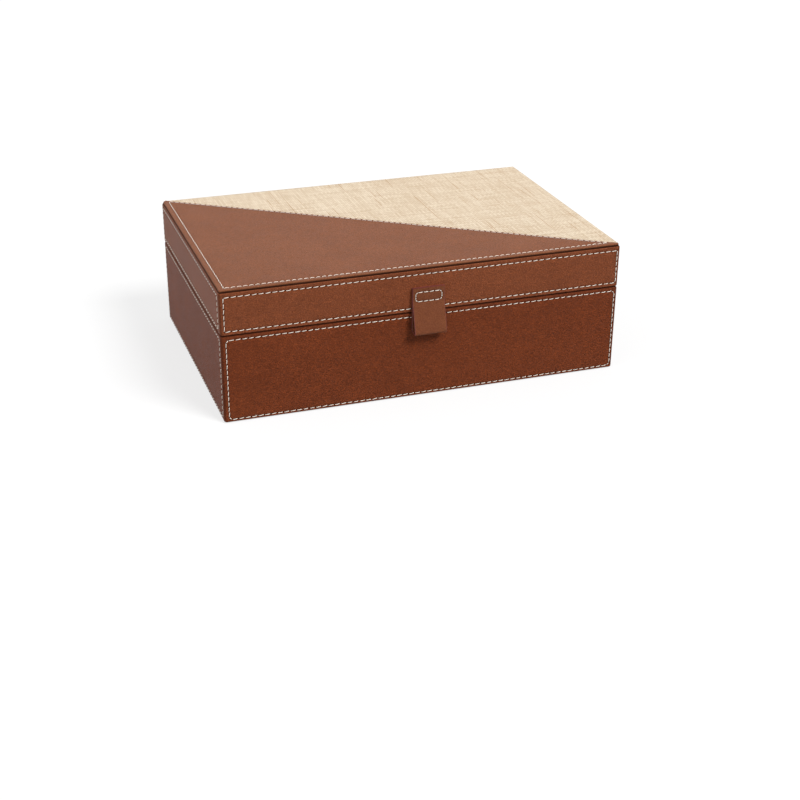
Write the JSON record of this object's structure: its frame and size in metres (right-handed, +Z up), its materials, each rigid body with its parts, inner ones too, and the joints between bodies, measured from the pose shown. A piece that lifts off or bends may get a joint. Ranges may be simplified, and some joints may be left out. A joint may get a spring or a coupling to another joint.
{
  "type": "stationery box",
  "caption": "Rectangular stationery box with a hinged lid, stitched leather sides, a slanting leather and raffia top and a folded leather pull tab at the front.",
  "frame": {"origin": "middle of the rest face, under the middle of the closed box", "axes": "+X along the front to the right, +Y to the back, +Z up; the pull tab is on the -Y side"},
  "size_m": [0.3048, 0.215, 0.1016],
  "materials": {
    "box_leather": "satin, fine grain",
    "tab_leather": "satin, smooth",
    "raffia": "matte, woven",
    "board": "sanded, unfinished",
    "lining_suede": "matte, napped",
    "brass": "satin"
  },
  "bodies": {
    "base": {"base_floor_board": "board", "base_front_board": "board", "base_back_board": "board", "base_left_board": "board", "base_right_board": "board", "base_leather_band": "box_leather", "underside_cover": "lining_suede", "base_floor_pad": "lining_suede", "base_front_lining": "lining_suede", "base_back_lining": "lining_suede", "base_left_lining": "lining_suede", "base_right_lining": "lining_suede", "left_hinge_base_leaf": "brass", "right_hinge_base_leaf": "brass", "left_hinge_pin": "brass", "right_hinge_pin": "brass", "base_hinge_screws": "brass"},
    "lid": {"lid_top_board": "board", "lid_front_rail": "board", "lid_back_rail": "board", "lid_left_rail": "board", "lid_right_rail": "board", "lid_leather_band": "box_leather", "top_leather_panel": "box_leather", "top_raffia_panel": "raffia", "lid_pad": "lining_suede", "lid_front_lining": "lining_suede", "lid_back_lining": "lining_suede", "lid_left_lining": "lining_suede", "lid_right_lining": "lining_suede", "left_hinge_lid_leaf": "brass", "right_hinge_lid_leaf": "brass", "lid_hinge_screws": "brass", "pull_tab_end": "tab_leather"},
    "tab": {"pull_tab_loop": "tab_leather"}
  },
  "joints": [
    {"name": "lid_hinge", "type": "hinge", "parent": "base", "child": "lid", "pos_m": [0, 0.1016, 0.0674], "axis": [-1, 0, 0], "range_deg": [0, 95]},
    {"name": "pull_tab_flex", "type": "hinge", "parent": "lid", "child": "tab", "pos_m": [0, -0.1032, 0.0736], "axis": [-1, 0, 0], "range_deg": [0, 70], "stiffness_Nm_per_rad": 0.003}
  ]
}
